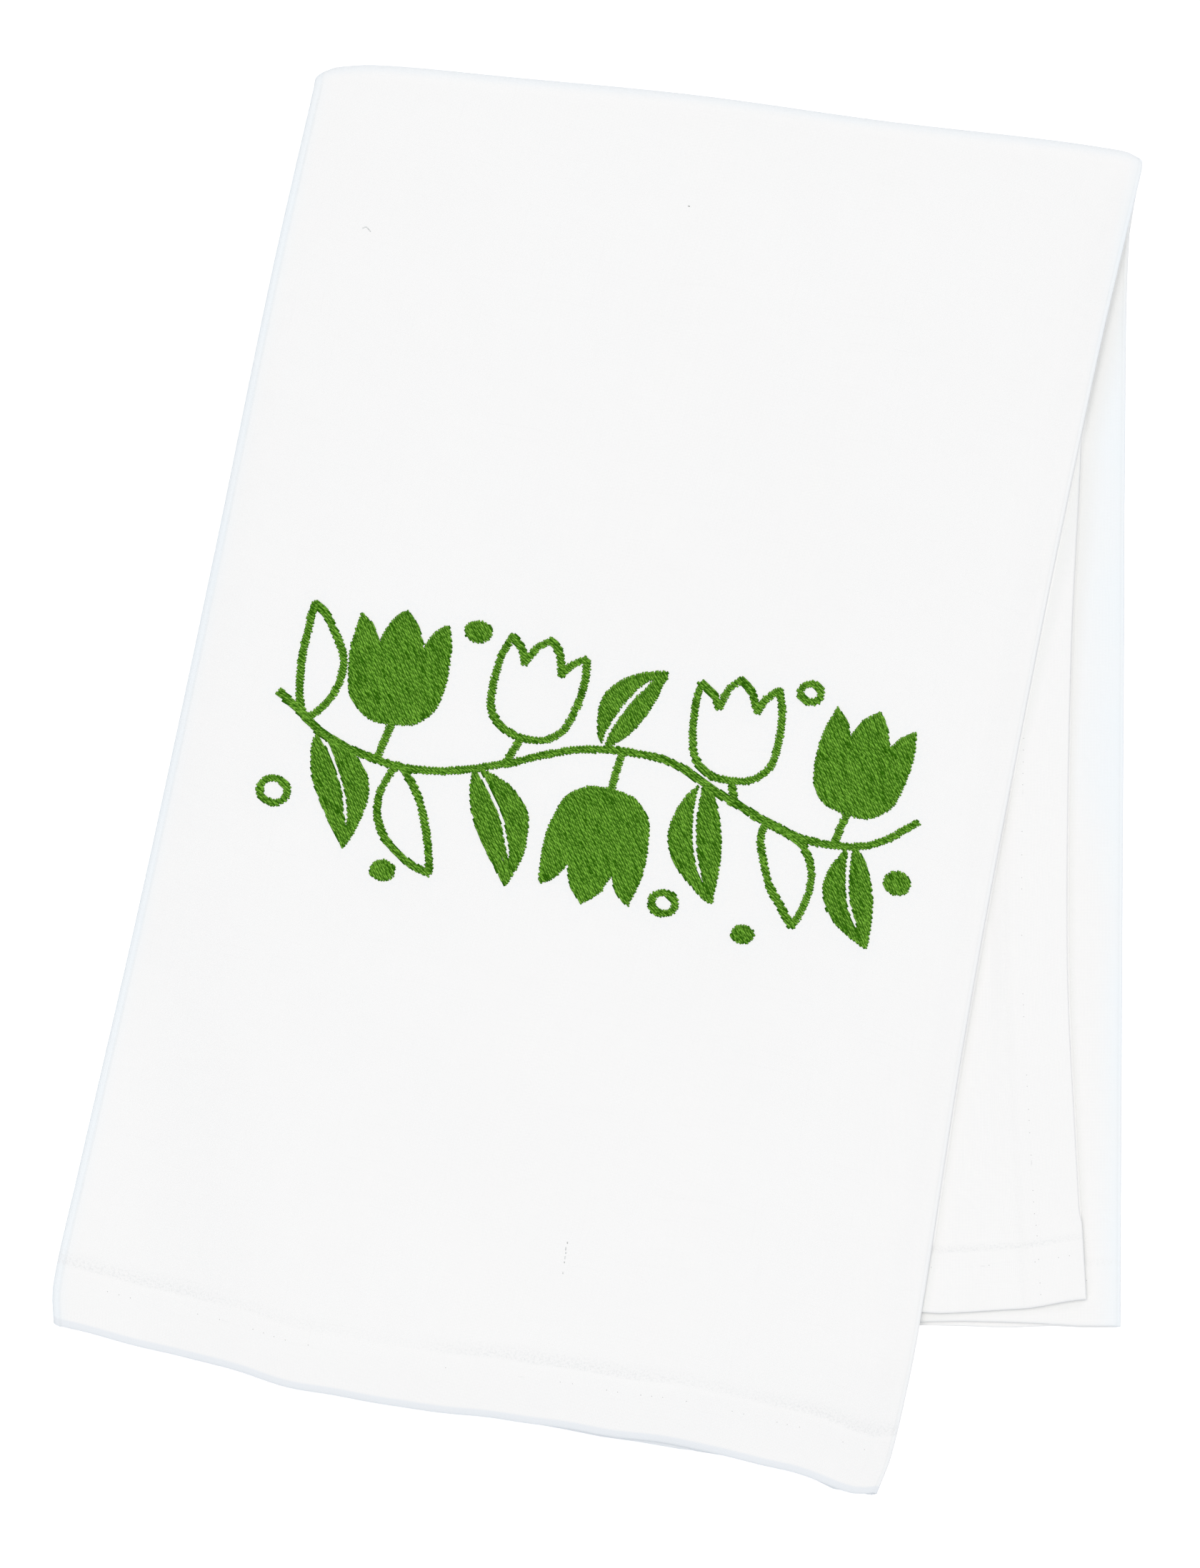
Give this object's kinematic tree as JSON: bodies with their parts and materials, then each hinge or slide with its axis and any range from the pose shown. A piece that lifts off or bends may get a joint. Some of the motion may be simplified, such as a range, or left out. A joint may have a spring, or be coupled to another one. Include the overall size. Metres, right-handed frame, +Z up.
{
  "type": "flour sack towel",
  "caption": "White cotton flour sack towel with hemmed edges and a green embroidered panel, folded in three and then in half, lying flat.",
  "frame": {"origin": "middle of the folded towel's footprint, on the surface that it lies on", "axes": "+Y up the back half to the crosswise fold, +X to the right as the embroidered front is seen, +Z up"},
  "size_m": [0.3106, 0.4076, 0.0087],
  "materials": {
    "cotton": "matt bleached plain weave",
    "green_thread": "soft sheen embroidery thread"
  },
  "bodies": {
    "root": {"towel": "cotton"}
  },
  "joints": []
}
